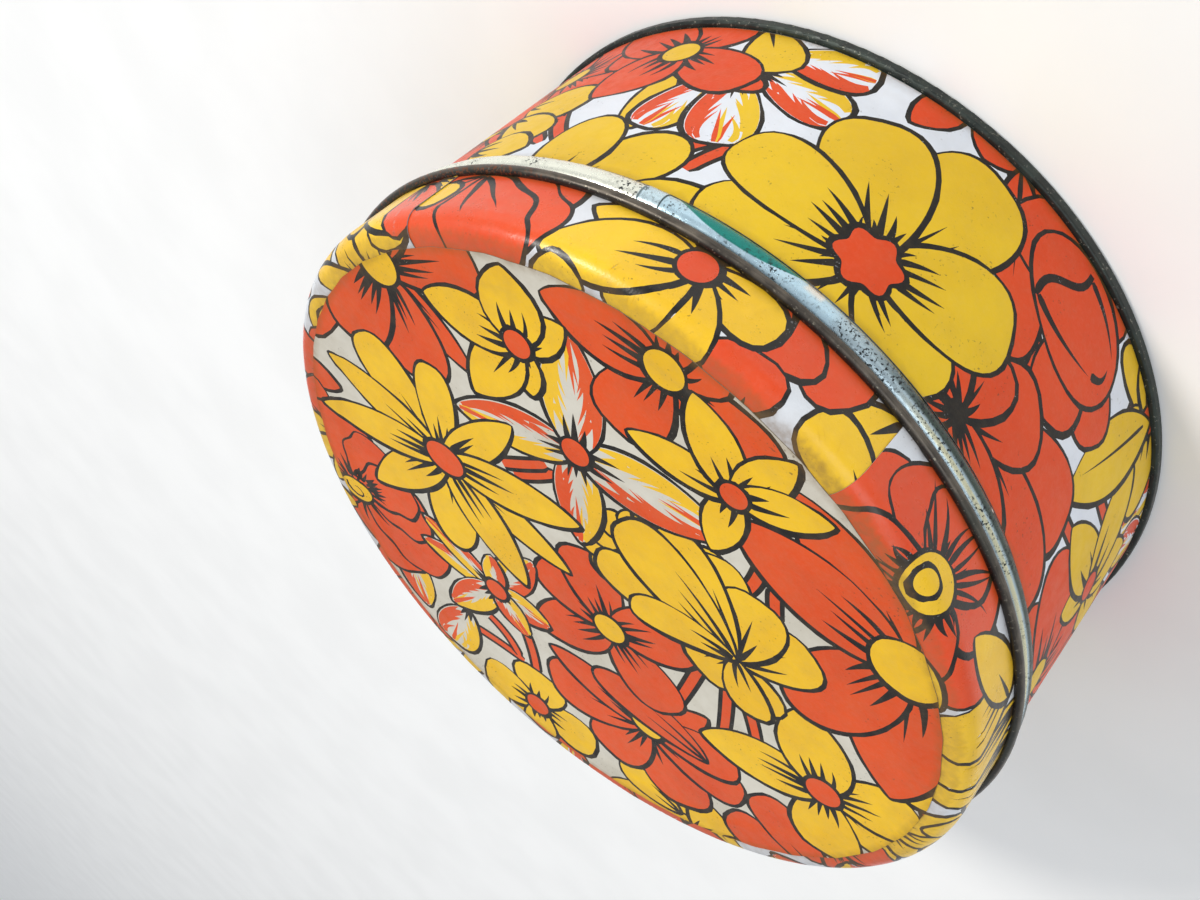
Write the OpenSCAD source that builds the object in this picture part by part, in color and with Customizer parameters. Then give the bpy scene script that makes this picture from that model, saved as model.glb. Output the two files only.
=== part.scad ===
// Round slip-lid tin with stuck-on vinyl covering.
// Z is the tin's axis, the base rim stands on Z = 0 and the lid is up.
// Every metal part is one sheet of tinplate bent to shape, drawn as a section and turned.

/* [Tin] */
// Radius over the covered skirt of the lid
tin_r = 101.6; // [80:0.1:140]
// Height from the base rim to the top of the covering
tin_h = 97.2; // [80:0.1:140]
// Thickness of the tinplate
sheet_t = 0.3; // [0.25:0.05:0.4]
// Free play between the lid's skirt and the neck, on the radius
lid_play = 0.5; // [0.3:0.05:1]

/* [Lid] */
// Depth of the lid, from the top of the covering to the middle of the curl
lid_depth = 20; // [14:0.5:24]
// Radius of the shoulder, over the metal
shoulder_r = 4.6; // [3:0.1:7]
// Radius of the rolled curl at the lid's edge
curl_r = 1.25; // [1:0.05:1.6]

/* [Body] */
// Middle of the stop bead, below the middle of the lid's curl
bead_drop = 5; // [4.5:0.1:6]
// Half the height of the stop bead
bead_half = 3.1; // [2.5:0.1:3.3]
// How far the stop bead stands out of the wall
bead_out = 2.1; // [1.2:0.1:2.3]
// Height of the neck above the middle of the lid's curl
neck_h = 14; // [8:0.5:14]
// Radius of the inward hem at the mouth
hem_r = 0.9; // [0.7:0.1:1.2]
// Direction of the side seam, seen from above
side_seam_a = -63; // [-180:1:180]

/* [Base] */
// Height of the double-seamed rim
rim_h = 3; // [2.6:0.1:3.4]
// Radius of the raised middle of the base
base_step_r = 86; // [60:1:92]

/* [Vinyl] */
// Thickness of the vinyl sheet
vinyl_t = 0.2; // [0.1:0.05:0.3]
// Thickness of the adhesive, left open between the sheet and what it is stuck to
glue_t = 0.1; // [0.08:0.01:0.15]
// Radius of the disc on the lid's panel
disc_r = 95; // [90:0.1:95.5]
// Radius to which the skirt strips are folded in over the panel
fold_in_r = 88; // [84:0.5:90]
// Start of the front skirt strip, seen from above
front_a0 = -106; // [-120:1:-90]
// End of the front skirt strip, seen from above
front_a1 = -33; // [-50:1:-20]
// Length of the laps between strips, as an angle
lap_a = 3; // [2:0.5:6]
// Direction of the lap in the body's wrap, seen from above
body_lap_a = 86; // [60:1:120]

/* [Hidden] */

layer = vinyl_t + glue_t;             // one layer of covering with its adhesive
eps = 0.01;                           // overlap that joins flat pieces
past = 1;                             // how far a cutting shape runs past what it cuts
$fn = 96;

// Lid
skirt_out = tin_r - layer;
skirt_in = skirt_out - sheet_t;
panel_top = tin_h - 2 * layer;
shoulder_c = skirt_out - shoulder_r;  // middle of the shoulder's arc, on the radius
shoulder_z = panel_top - shoulder_r;
curl_z = tin_h - lid_depth;
curl_c = skirt_in + curl_r;
curl_gap = 0.35;                      // from the skirt to the end of the curl

// Body
wall_out = skirt_in - lid_play;
wall_in = wall_out - sheet_t;
bead_z = curl_z - bead_drop;
bead_r = (bead_half * bead_half + bead_out * bead_out) / (2 * bead_out);
bead_c = wall_out + bead_out - bead_r;
bead_grip = 0.12;                     // how far the bead's arc and the wall run into each other
neck_top = curl_z + neck_h;
hem_c = wall_out - hem_r;
hem_z = neck_top - hem_r;

// Side seam, a second thickness inside the wall and a pad on the bead
seam_half_a = 1.5;                    // half the width of the seam, as an angle
seam_foot = 1.5;                      // from the base's rim up to the seam
seam_clear = 1;                       // from the seam to the bead and to the hem
pad_a = 3;                            // width of the pad, as an angle
pad_t = 0.2;                          // how proud of the bead the pad stands
pad_root = 0.4;                       // how far out of the wall the pad starts

// Double seam, counted outwards from the wall: the base's hook, the wall's hook, the base's edge
seam_gap = 0.22;                      // between one layer and the next
foot_z = 0.6;                         // under side of the wall's foot
seam_pitch = sheet_t + seam_gap;
base_hook_in = wall_out + seam_gap;
wall_hook_in = base_hook_in + seam_pitch;
rim_out = wall_hook_in + 2 * seam_pitch;
chuck_gap = 0.05;                     // from the base's upright wall to the body
chuck_in = wall_in - chuck_gap - sheet_t;
rim_round = 0.7;                      // radius of the rim's corners
panel_z = 1.8;                        // under side of the base's outer panel
base_step = 0.9;                      // rise of the base's raised middle

// Vinyl
wrap_z0 = rim_h + 0.2;                // just clear of the rim
wrap_z1 = bead_z - bead_half - 0.1;   // just clear of the bead
strip_z0 = curl_z + curl_r - 0.15;    // in the groove behind the curl
ease_a = 0.3;                         // angle in which a lapped end climbs on to the sheet below
bite = 0.05;                          // how far the climbing end sits into its adhesive
gap_a = 0.1;                          // angle left open beside the end of the sheet below
lap_trim = 0.15;                      // how much shorter each step of a lap is at the edges
lap_reach = 0.1;                      // how far out of the disc's edge the lap starts
disc_climb_in = 1.2;                  // from the strips' inner edge to where the disc starts to rise
disc_climb_out = 0.4;                 // from the strips' inner edge to where it has risen

tinplate = [0.42, 0.4, 0.37];
old_print = [0.55, 0.66, 0.72];
orange = [0.88, 0.34, 0.17];
yellow = [0.93, 0.74, 0.2];
cream = [0.86, 0.84, 0.78];

// A flat piece of a section between two radii and two heights
module bar(r0, r1, z0, z1) {
    translate([r0, z0]) square([r1 - r0, z1 - z0]);
}

// A flat ring of a section
module ring(r, z, radius, t) {
    translate([r, z]) difference() {
        circle(radius);
        circle(radius - t);
    }
}

// A rectangle with round corners
module round_bar(r0, r1, z0, z1, corner) {
    bar(r0 + corner, r1 - corner, z0, z1);
    bar(r0, r1, z0 + corner, z1 - corner);
    for (r = [r0 + corner, r1 - corner])
        for (z = [z0 + corner, z1 - corner])
            translate([r, z]) circle(corner);
}

// The quarter of a ring that lies up and out from its middle
module quarter(r, z, radius, t) {
    intersection() {
        ring(r, z, radius, t);
        translate([r, z]) square(radius + past);
    }
}

// A section turned from one direction to another
module turn(a0, a1) {
    rotate([0, 0, a0]) rotate_extrude(angle = a1 - a0) children();
}

module wall_section() {
    // foot, with the hook that is seamed into the base
    bar(wall_in, wall_out, foot_z, bead_z - bead_half + bead_grip);
    bar(wall_in, wall_hook_in + sheet_t, foot_z, foot_z + sheet_t);
    bar(wall_hook_in, wall_hook_in + sheet_t, foot_z, rim_h - 2 * sheet_t - seam_gap);
    // stop bead
    intersection() {
        ring(bead_c, bead_z, bead_r, sheet_t);
        bar(wall_in, wall_out + bead_out + past, bead_z - bead_half - bead_grip,
            bead_z + bead_half + bead_grip);
    }
    // neck and hemmed mouth, rolled inwards as far as the bottom of its turn
    bar(wall_in, wall_out, bead_z + bead_half - bead_grip, hem_z);
    difference() {
        ring(hem_c, hem_z, hem_r, sheet_t);
        bar(hem_c, wall_out + past, hem_z - hem_r - past, hem_z);
    }
}

module body_wall() {
    color(old_print) {
        rotate_extrude() wall_section();
        // the side seam, below and above the bead
        for (z = [[rim_h + seam_foot, bead_z - bead_half - seam_clear],
                  [bead_z + bead_half + seam_clear, hem_z - hem_r - seam_clear]])
            turn(side_seam_a - seam_half_a, side_seam_a + seam_half_a)
                bar(wall_in - sheet_t, wall_in + eps, z[0], z[1]);
        // its pad on the bead
        turn(side_seam_a - pad_a, side_seam_a)
            intersection() {
                ring(bead_c, bead_z, bead_r + pad_t, sheet_t);
                bar(wall_out + pad_root, wall_out + bead_out + past,
                    bead_z - bead_half, bead_z + bead_half);
            }
    }
}

module base_section() {
    difference() {
        round_bar(chuck_in, rim_out, 0, rim_h, rim_round);
        round_bar(chuck_in + sheet_t, rim_out - sheet_t, sheet_t, rim_h - sheet_t, rim_round - sheet_t);
        // mouth of the seam, where the wall comes in
        bar(chuck_in + sheet_t, base_hook_in, rim_h / 2, rim_h + past);
        // the chuck wall ends at the panel
        bar(chuck_in - past, chuck_in + sheet_t + eps, panel_z + sheet_t, rim_h + past);
    }
    bar(base_hook_in, base_hook_in + sheet_t, foot_z + sheet_t + seam_gap, rim_h - sheet_t + eps);
    // countersunk panel with a raised middle
    bar(base_step_r, chuck_in + eps, panel_z, panel_z + sheet_t);
    polygon([[base_step_r + eps, panel_z], [base_step_r + eps, panel_z + sheet_t],
             [base_step_r - base_step, panel_z + base_step + sheet_t],
             [base_step_r - base_step, panel_z + base_step]]);
    bar(0, base_step_r - base_step + eps, panel_z + base_step, panel_z + base_step + sheet_t);
}

module base_end() {
    color(tinplate) rotate_extrude() base_section();
}

module body_vinyl() {
    over = wall_out + glue_t;
    climb_t = vinyl_t + layer;
    color(orange) {
        // once round, from the buried end to the climb
        turn(body_lap_a + gap_a, body_lap_a + 360 - ease_a / 2)
            bar(over, over + vinyl_t, wrap_z0, wrap_z1);
        turn(body_lap_a - ease_a, body_lap_a)
            bar(over - bite, over - bite + climb_t, wrap_z0 + lap_trim, wrap_z1 - lap_trim);
        turn(body_lap_a - ease_a / 2, body_lap_a + lap_a)
            bar(over + layer, over + layer + vinyl_t, wrap_z0 + 2 * lap_trim, wrap_z1 - 2 * lap_trim);
    }
}

module lid_section() {
    bar(0, shoulder_c, panel_top - sheet_t, panel_top);
    quarter(shoulder_c, shoulder_z, shoulder_r, sheet_t);
    bar(skirt_in, skirt_out, curl_z, shoulder_z);
    // the curl is rolled outwards and its end stops short of the skirt
    difference() {
        ring(curl_c, curl_z, curl_r, sheet_t);
        bar(skirt_in - past, skirt_out + curl_gap, curl_z, curl_z + curl_r + past);
    }
}

module lid_shell() {
    color(tinplate) rotate_extrude() lid_section();
}

// Section of a strip on the lid's skirt: up the skirt, round the shoulder and in over the panel
module strip_section(lift, t, r_end, trim = 0) {
    r_in = skirt_out + lift;
    z_in = panel_top + lift;
    bar(r_in, r_in + t, strip_z0 + trim, shoulder_z);
    quarter(shoulder_c, shoulder_z, shoulder_r + lift + t, t);
    bar(r_end, shoulder_c, z_in, z_in + t);
}

module lid_skirt_vinyl_front() {
    color(yellow) turn(front_a0, front_a1) strip_section(glue_t, vinyl_t, fold_in_r);
}

// The end of the back strip that climbs on to the front strip, from a0 to a1, and the lap over
// it, from b0 to b1. The climb is a little thicker inwards than the strip, where adhesive fills it.
module lapped_end(a0, a1, b0, b1) {
    lap_end_r = disc_r + lap_reach;
    turn(a0, a1) strip_section(glue_t - bite, vinyl_t + layer, lap_end_r + bite, lap_trim);
    turn(b0, b1) strip_section(glue_t + layer, vinyl_t, lap_end_r, 2 * lap_trim);
}

module lid_skirt_vinyl_back() {
    start_a = front_a1 + gap_a;
    end_a = front_a0 - gap_a;
    color(orange) {
        turn(start_a + ease_a / 2, end_a - ease_a / 2 + 360)
            strip_section(glue_t, vinyl_t, fold_in_r);
        lapped_end(start_a, start_a + ease_a, start_a - lap_a, start_a + ease_a / 2);
        lapped_end(end_a - ease_a, end_a, end_a - ease_a / 2, end_a + lap_a);
    }
}

// The disc lies on the panel and climbs on to the folded-in strips near its edge
module lid_top_vinyl() {
    z0 = panel_top + glue_t;
    step_in = fold_in_r - disc_climb_in;
    step_out = fold_in_r - disc_climb_out;
    color(cream) rotate_extrude()
        polygon([[0, z0], [step_in, z0], [step_out, z0 + layer], [disc_r, z0 + layer],
                 [disc_r, z0 + layer + vinyl_t], [step_out, z0 + layer + vinyl_t],
                 [step_in, z0 + vinyl_t], [0, z0 + vinyl_t]]);
}

body_wall();
base_end();
body_vinyl();
lid_shell();
lid_skirt_vinyl_front();
lid_skirt_vinyl_back();
lid_top_vinyl();
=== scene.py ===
"""A round slip-lid tin covered in flower-print vinyl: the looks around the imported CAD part.

Flat artwork is drawn in millimetres, cut into a triangle mesh whose faces each carry one ink,
and wrapped on to the lid's disc, the two skirt strips and the body.
"""

import math
from random import Random

import bpy
import numpy as np
from mathutils import Matrix, Vector
from mathutils.geometry import delaunay_2d_cdt


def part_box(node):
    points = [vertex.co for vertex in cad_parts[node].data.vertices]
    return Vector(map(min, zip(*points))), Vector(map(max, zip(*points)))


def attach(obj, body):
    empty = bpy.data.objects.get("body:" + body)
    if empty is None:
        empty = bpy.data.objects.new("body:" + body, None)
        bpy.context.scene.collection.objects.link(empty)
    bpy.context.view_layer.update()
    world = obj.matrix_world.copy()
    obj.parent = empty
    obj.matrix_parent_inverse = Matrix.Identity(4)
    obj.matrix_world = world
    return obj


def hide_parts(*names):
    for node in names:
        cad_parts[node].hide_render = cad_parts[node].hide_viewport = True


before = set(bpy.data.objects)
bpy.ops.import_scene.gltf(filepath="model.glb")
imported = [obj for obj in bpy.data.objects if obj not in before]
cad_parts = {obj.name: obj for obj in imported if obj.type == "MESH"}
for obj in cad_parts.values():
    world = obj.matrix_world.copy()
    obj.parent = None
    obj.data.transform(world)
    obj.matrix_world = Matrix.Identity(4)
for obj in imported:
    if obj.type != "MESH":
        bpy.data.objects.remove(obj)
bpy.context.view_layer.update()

MM = 0.001

# Places that the CAD part gives, in millimetres
wrap_low, wrap_high = (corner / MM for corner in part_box("body_vinyl"))
strip_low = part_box("lid_skirt_vinyl_back")[0] / MM
disc_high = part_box("lid_top_vinyl")[1] / MM
WRAP_R = -wrap_low.x
WRAP_Z0 = wrap_low.z
WRAP_Z1 = wrap_high.z
SKIRT_R = -strip_low.x
STRIP_Z0 = strip_low.z
TOP_Z = disc_high.z
DISC_R = disc_high.x
CURL_Z0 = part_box("lid_shell")[0].z / MM
BEAD_H = 6.4                    # from the wrap's upper edge to the top of the bead

# The covering, as the CAD part has it
VINYL_T = 0.2
LAYER = 0.3                     # sheet and adhesive
SHOULDER_R = 4.9                # over the covering
FOLD_IN_R = 88.0                # where the strips end under the disc
WRAP_LAP_A = 86.0               # where the body's wrap runs over its own start, in degrees
FRONT_A0 = -106.0               # the front strip's ends
FRONT_A1 = -33.0
LAP_A = 3.0                     # length of every lap
CLIMB_A = 0.3                   # angle in which a sheet climbs on to the one below

SKIRT_H = TOP_Z - LAYER - SHOULDER_R - STRIP_Z0
SHOULDER_LEN = SHOULDER_R * math.pi / 2
SHOULDER_CENTRE = SKIRT_R - SHOULDER_R
STRIP_LEN = SKIRT_H + SHOULDER_LEN + SHOULDER_CENTRE - FOLD_IN_R
BARE_LEN = SKIRT_H + SHOULDER_LEN + SHOULDER_CENTRE - DISC_R    # what the disc leaves uncovered

# Inks. FLAME is a white petal licked by orange and yellow.
WHITE, ORANGE, YELLOW, BLACK, FLAME = range(5)
LINE = 1.15                     # weight of the inked outlines
THINNEST = 0.03                 # a brush stroke's end
VEIN_REACH = 0.62               # how far veins run along a petal
SLIP = np.array([0.22, -0.16])  # how far the colours were printed out of register
EDGE_DIRT = 0.55                # how dark the cut edges of the sheets are, as a share of black
PORE = 0.55                     # size of the vinyl's pores

# The sheets' unevenness
SUNK = 0.13                     # how far the disc lies below its CAD box, so that pleats fit in
PLEATS = 34                     # pleats round the lid


# ---------------------------------------------------------------- artwork

def unit(turn):
    return np.array([math.cos(math.radians(turn)), math.sin(math.radians(turn))])


def ring_of(at, radius, squeeze=1.0, turn=0.0, lobes=0, depth=0.0, count=28):
    """An oval, or a scalloped round, about a point."""
    a = np.linspace(0, 2 * math.pi, count, endpoint=False)
    r = radius * (1 + depth * np.cos(lobes * a))
    along, across = unit(turn), unit(turn + 90)
    return np.asarray(at, float) + (r * np.cos(a))[:, None] * along \
        + (r * np.sin(a) * squeeze)[:, None] * across


# How a petal widens from its root and closes at its tip
TIPS = {"point": (0.66, 0.80), "round": (0.74, 0.36), "leaf": (0.85, 1.0), "blunt": (0.7, 0.5)}


class Petal:
    """A petal's own coordinates: t runs from root to tip and s from edge to edge."""

    def __init__(self, root, turn, length, width, tip, bend, lobes, ruffle):
        self.root = np.asarray(root, float)
        self.turn = unit(turn)
        self.side = unit(turn + 90)
        self.length, self.bend = length, bend
        self.rise, self.close = TIPS[tip]
        self.lobes, self.ruffle = lobes, ruffle
        peak = self.rise / (self.rise + self.close)
        self.scale = width / (peak ** self.rise * (1 - peak) ** self.close)

    def place(self, t, s):
        t, s = np.broadcast_arrays(np.asarray(t, float), np.asarray(s, float))
        half = self.scale * np.clip(t, 0, 1) ** self.rise * np.clip(1 - t, 0, 1) ** self.close
        along = self.length * t
        if self.lobes:
            half = half * (1 + self.ruffle * np.sin(self.lobes * math.pi * t) * np.sign(s))
            along = along * (1 - self.ruffle * 0.5 * np.cos(self.lobes * s * math.pi) * t ** 4)
        across = s * half + self.bend * self.length * t * t
        return self.root + along[:, None] * self.turn + across[:, None] * self.side

    def outline(self):
        spacing = 0.8 if self.lobes else 1.7
        t = (1 - np.cos(np.linspace(0, math.pi, max(10, int(self.length / spacing))))) / 2
        return np.vstack([self.place(t, -1.0), self.place(t[::-1][1:-1], 1.0)])

    def line(self, t0, s0, t1, s1, steps=7):
        k = np.linspace(0, 1, steps)
        return self.place(t0 + (t1 - t0) * k, s0 + (s1 - s0) * k ** 1.6)


# What a meadow grows. Petals, how far each strays, shortest, longest and width, then the
# flower's ink (None: by chance), heart, tip, veins and lashes.
KINDS = {"daisy": (10, 5, 0.95, 1.25, 0.19, YELLOW, 5, "point", 3, 0),
         "five": (5, 9, 0.9, 1.1, 0.33, None, 5, "round", 5, 0),
         "flame": (4, 12, 0.9, 1.25, 0.25, FLAME, 3.4, "point", 3, 0),
         "poppy": (6, 8, 0.95, 1.2, 0.4, ORANGE, 6.5, "round", 6, 15),
         "star": (5, 10, 0.7, 1.0, 0.22, YELLOW, 3.6, "point", 3, 0)}
KIND_ORDER = ("five", "daisy", "flame", "poppy", "star", "rose")


class Artwork:
    """Flat shapes in the order in which they cover each other."""

    def __init__(self, seed):
        self.shapes = []
        self.rng = Random(seed)

    def add(self, points, ink):
        points = np.asarray(points, float)
        after = np.roll(points, -1, 0)
        area = np.sum(points[:, 0] * after[:, 1] - after[:, 0] * points[:, 1])
        self.shapes.append((points if area > 0 else points[::-1], ink))

    def inked(self, points, ink, line=LINE):
        """A filled shape with a black line round it whose weight wanders."""
        along = np.roll(points, -1, 0) - np.roll(points, 1, 0)
        length = np.maximum(np.hypot(along[:, 0], along[:, 1]), 1e-6)
        out = np.stack([along[:, 1], -along[:, 0]], 1) / length[:, None]
        turn = np.linspace(0, 2 * math.pi, len(points), endpoint=False)
        weight = np.ones(len(points))
        for waves, share in ((1, 0.26), (3, 0.15), (8, 0.08), (19, 0.06)):
            weight += share * np.sin(waves * turn + self.rng.uniform(0, 2 * math.pi))
        self.add(points + out * (line * weight)[:, None], BLACK)
        self.add(points + SLIP * self.rng.uniform(0.4, 1.2), ink)

    def stroke(self, path, start, end=0.0, ink=BLACK):
        """A brush stroke along a path, from one width to the other."""
        path = np.asarray(path, float)
        along = np.gradient(path, axis=0)
        length = np.maximum(np.hypot(along[:, 0], along[:, 1]), 1e-6)
        side = np.stack([-along[:, 1], along[:, 0]], 1) / length[:, None]
        k = np.linspace(0, 1, len(path))
        half = np.maximum(start * (1 - k) ** 0.75 + end * k, THINNEST) / 2
        half[0] *= 0.6
        self.add(np.vstack([path + side * half[:, None], (path - side * half[:, None])[::-1]]), ink)

    def veins(self, petal, heart, count, reach):
        """Strokes that fan out of the heart, longest in the middle of the petal."""
        start = min(0.3, heart * 0.8 / petal.length)
        for i in range(count):
            s = ((i + 0.5) / count * 2 - 1) * 0.72 + self.rng.uniform(-0.08, 0.08)
            end = start + (reach - start) * self.rng.uniform(0.55, 1.0) * (1 - 0.35 * abs(s))
            width = self.rng.uniform(1.5, 2.5)
            self.stroke(petal.line(start, s * 0.9, end, s * self.rng.uniform(0.7, 1.05)), width)

    def flames(self, petal, heart):
        """A white petal licked by orange along one edge and yellow along the other."""
        rng = self.rng
        k = np.linspace(0.01, 0.99, 18)
        t = 0.12 + 0.86 * k
        for edge, ink in ((-1, ORANGE), (1, YELLOW)):
            depth = 0.42 * np.sin(math.pi * k) ** 0.7
            outer = petal.place(t, edge * 0.98)
            self.add(np.vstack([outer, petal.place(t[::-1], edge * (0.98 - depth[::-1]))]), ink)
            for i in range(5):
                t0 = 0.95 - 0.15 * i
                s0 = edge * (0.66 - 0.02 * i + rng.uniform(-0.06, 0.06))
                t1 = max(t0 - rng.uniform(0.28, 0.42), 0.1)
                self.stroke(petal.line(t0, s0, t1, s0 * 0.3), rng.uniform(1.7, 2.6), 0.0, ink)
        for i in range(3):
            s = rng.uniform(-0.35, 0.35)
            path = petal.line(0.98, s * 0.3, rng.uniform(0.45, 0.62), s)
            self.stroke(path, rng.uniform(1.4, 2.2), 0.0, (ORANGE, YELLOW)[i % 2])
        self.veins(petal, heart, 3, 0.36)

    def petal(self, root, turn, length, width, ink=ORANGE, tip="point", veins=3, heart=0.0,
              bend=0.0, lobes=0, ruffle=0.0, reach=VEIN_REACH):
        petal = Petal(root, turn, length, width, tip, bend, lobes, ruffle)
        self.inked(petal.outline(), WHITE if ink == FLAME else ink)
        if ink == FLAME:
            self.flames(petal, heart)
        elif veins:
            self.veins(petal, heart, veins, reach)

    def petals(self, place, rows):
        """Single petals, each as the two numbers of its root's place and then what petal is given."""
        for a, b, *shape in rows:
            self.petal(place(a, b), *shape)

    def heart(self, at, radius, ink, squeeze=1.0, turn=0.0, lobes=0, depth=0.0):
        count = 9 * lobes if lobes else 28
        self.inked(ring_of(at, radius, squeeze, turn, lobes, depth, count), ink, LINE * 1.1)

    def lashes(self, at, inner, outer, count, turn0=0.0, span=360.0):
        """Short dark strokes that stand round a heart."""
        for i in range(count):
            turn = turn0 + span * (i + self.rng.uniform(0.2, 0.8)) / count
            far = inner + (outer - inner) * self.rng.uniform(0.55, 1.0)
            lean = self.rng.uniform(-9, 9)
            k = np.linspace(0, 1, 7)[:, None]
            way = np.array([unit(turn + lean * j * j) for j in k[:, 0]])
            self.stroke(np.asarray(at) + (inner * (1 - k) + far * k) * way, self.rng.uniform(1.2, 2.1))

    def flower(self, at, ink, heart, petals, tip="point", veins=3, heart_ink=None, squeeze=1.0,
               turn=0.0, lobes=0, depth=0.0, lashes=0, reach=VEIN_REACH):
        """Petals as (direction, length, half width, tip, bend), then the heart over their roots."""
        for way, length, width, *more in petals:
            form, bend = (more + [tip, 0.0][len(more):])[:2]
            self.petal(at, way, length, width, ink, form, veins, heart, bend, reach=reach)
        if lashes:
            self.lashes(at, heart * 0.9, heart * 1.9, lashes)
        if heart_ink is None:
            heart_ink = YELLOW if ink == ORANGE else ORANGE
        self.heart(at, heart, heart_ink, squeeze, turn, lobes, depth)

    def stem(self, points, width=2.3):
        """An orange ribbon of a stem with an inked line along both sides."""
        points = np.asarray(points, float)
        k = np.linspace(0, 1, 10)
        first, middle, last = points[0], points[len(points) // 2], points[-1]
        path = ((1 - k) ** 2)[:, None] * first + (2 * k * (1 - k))[:, None] * middle \
            + (k ** 2)[:, None] * last
        self.stroke(path, width + 2 * LINE, width + 2 * LINE)
        self.stroke(path, width, width, ORANGE)

    def rose(self, at, radius, ink, turn):
        """A closed bloom: rounds that sit inside each other, with loose curls between them."""
        at = np.asarray(at)
        for i, share in enumerate((1.0, 0.74, 0.46)):
            middle = at + unit(turn + 140 * i) * radius * 0.13 * i
            self.inked(ring_of(middle, radius * share, 0.92, turn + 50 * i, 5, 0.035, 40), ink)
        for i in range(5):
            a0 = turn + 72 * i + self.rng.uniform(-15, 15)
            r0 = radius * self.rng.uniform(0.55, 0.85)
            path = [at + unit(a0 + 8 * j) * (r0 + j * 0.35) for j in range(8)]
            self.stroke(path, self.rng.uniform(0.8, 1.3))

    def bud(self, at, radius, ink, turn):
        """A bloom about to open: an oval, loose petals behind it and a folded edge across it."""
        for lean, reach, width in ((172, 1.4, 0.42), (131, 1.35, 0.46), (-79, 0.95, 0.5), (2, 1.45, 0.5)):
            self.petal(at, turn + lean, radius * reach, radius * width, ink, "round", 0)
        self.inked(ring_of(at, radius, 0.66, turn, 3, 0.03, 36), ink)
        along, across = unit(turn), unit(turn + 90)
        k = np.linspace(0, 1, 14)
        for a, b, start, end in ((0.46 + 0.11 * np.sin(6 * k), 0.56 - 1.05 * k, 2.0, 1.6),
                                 (0.44 - 1.05 * k, 0.52 - 0.45 * k * k, 2.1, 0.0),
                                 (0.36 - 0.9 * k, -0.46 - 0.05 * np.sin(3 * k), 1.8, 0.0),
                                 (-0.62 - 0.10 * np.sin(3 * k), 0.02 - 0.36 * k, 2.4, 0.0)):
            self.stroke(np.asarray(at) + radius * (np.outer(a, along) + np.outer(b, across)), start, end)

    def meadow(self, u0, u1, v0, v1, pitch, sizes):
        """Flowers in staggered columns, each kind in turn, over a stretch of the sheet."""
        rng = self.rng
        columns = max(1, round((u1 - u0) / pitch))
        rows = max(1, round((v1 - v0) / pitch))
        spots = []
        for column in range(columns + 1):
            for row in range(rows + 1):
                u = u0 + (column + 0.5 * (row % 2)) * (u1 - u0) / columns + rng.uniform(-0.12, 0.12) * pitch
                v = v0 + row * (v1 - v0) / rows + rng.uniform(-0.14, 0.14) * pitch
                spots.append((u, v, KIND_ORDER[(len(spots) * 5 + row * 2) % 6]))
                bow, end = rng.uniform(-9, 9), rng.uniform(-20, 20)
                self.stem([(u, v), (u + pitch * 0.5, v + bow), (u + pitch, v + end)])
        rng.shuffle(spots)
        for u, v, kind in spots:
            size = rng.uniform(*sizes)
            spin = rng.uniform(0, 360)
            chance = rng.choice((ORANGE, YELLOW))
            if kind == "rose":
                self.rose((u, v), size * 0.62, chance, spin)
                continue
            count, stray, short, long, width, ink, heart, tip, veins, lashes = KINDS[kind]
            fan = []
            for i in range(count):
                way = spin + 360 / count * i + rng.uniform(-stray, stray)
                length = size * rng.uniform(short, long)
                bend = rng.uniform(-0.1, 0.1) if kind == "five" else 0.0
                fan.append((way, length, size * width, tip, bend))
            self.flower((u, v), chance if ink is None else ink, heart, fan, tip, veins, lashes=lashes)


# ---------------------------------------------------------------- the disc on the lid

def on_lid(x, y):
    """A place on the disc, from the tin's axis, X to the right and Y up as seen from above."""
    return (x, y)


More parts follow.
